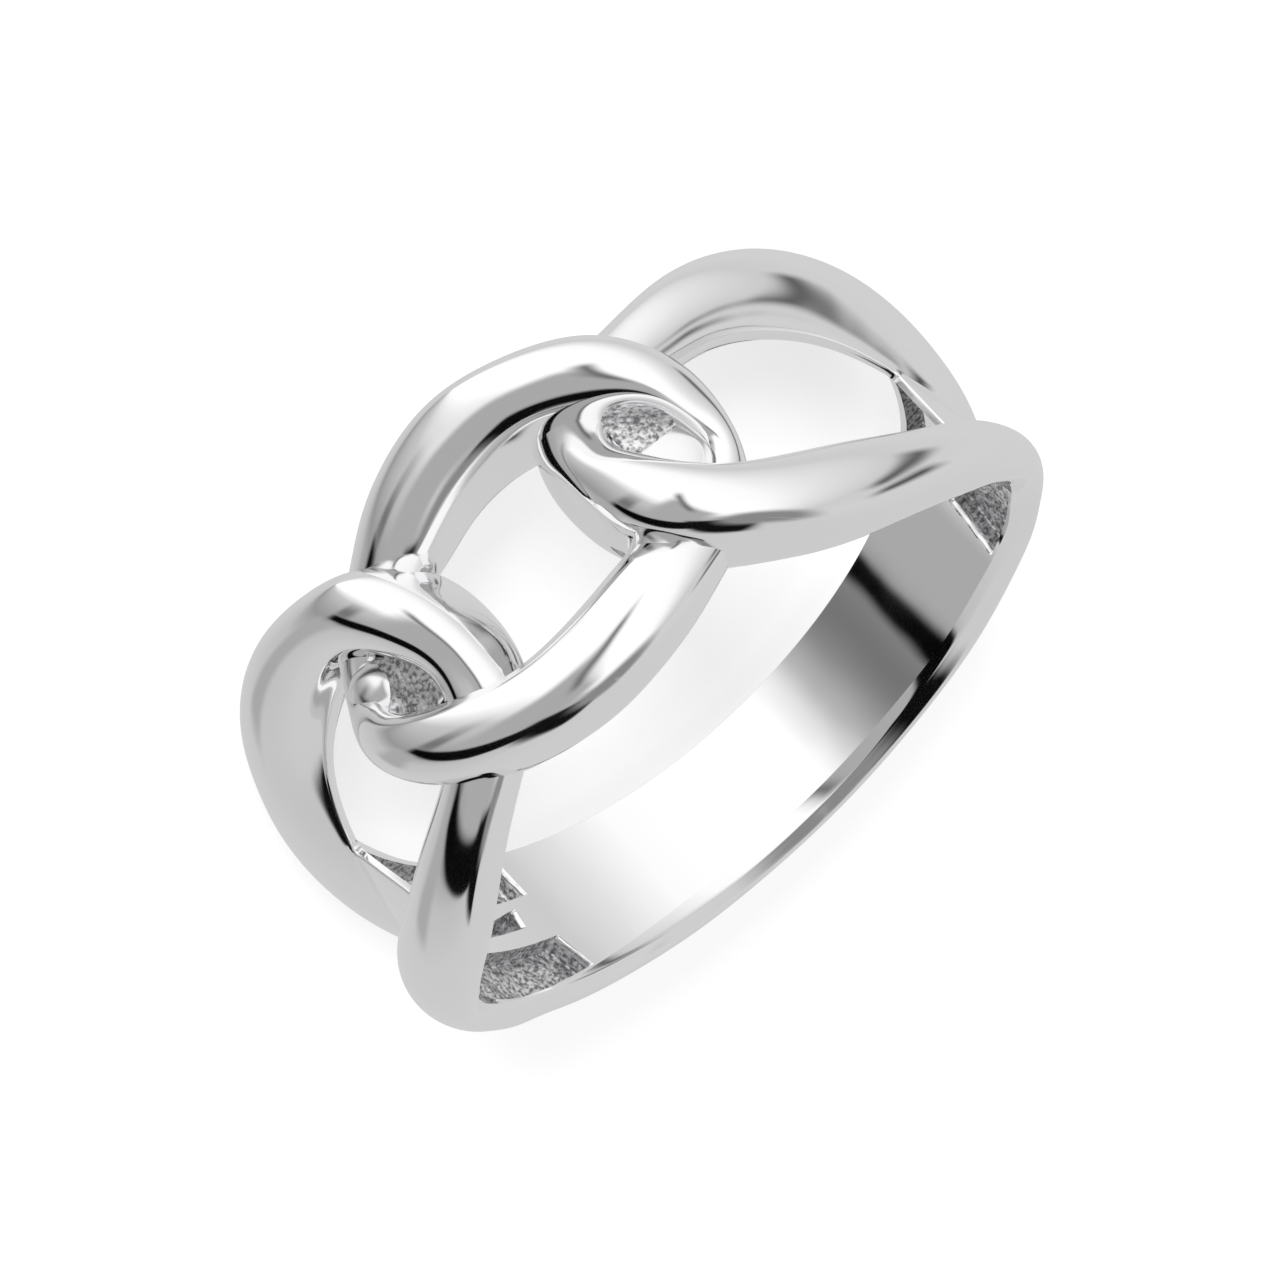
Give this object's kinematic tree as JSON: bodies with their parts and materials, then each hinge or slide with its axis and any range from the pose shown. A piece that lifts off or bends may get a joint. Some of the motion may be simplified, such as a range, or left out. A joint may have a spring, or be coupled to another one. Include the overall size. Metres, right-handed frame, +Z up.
{
  "type": "chain link ring",
  "caption": "Finger ring whose front is a row of interlocked oval links that merges into a tapering plain band.",
  "frame": {"origin": "middle of the ring's footprint, on the table that it lies on", "axes": "+Z up from the table, -Y from the band towards the linked front, +X from the right link towards the left link as worn facing -Y"},
  "size_m": [0.0196, 0.021, 0.009],
  "materials": {
    "silver": "mirror polished silver, left as cast in the hollows"
  },
  "bodies": {
    "root": {"chain_link_ring": "silver"}
  },
  "joints": []
}
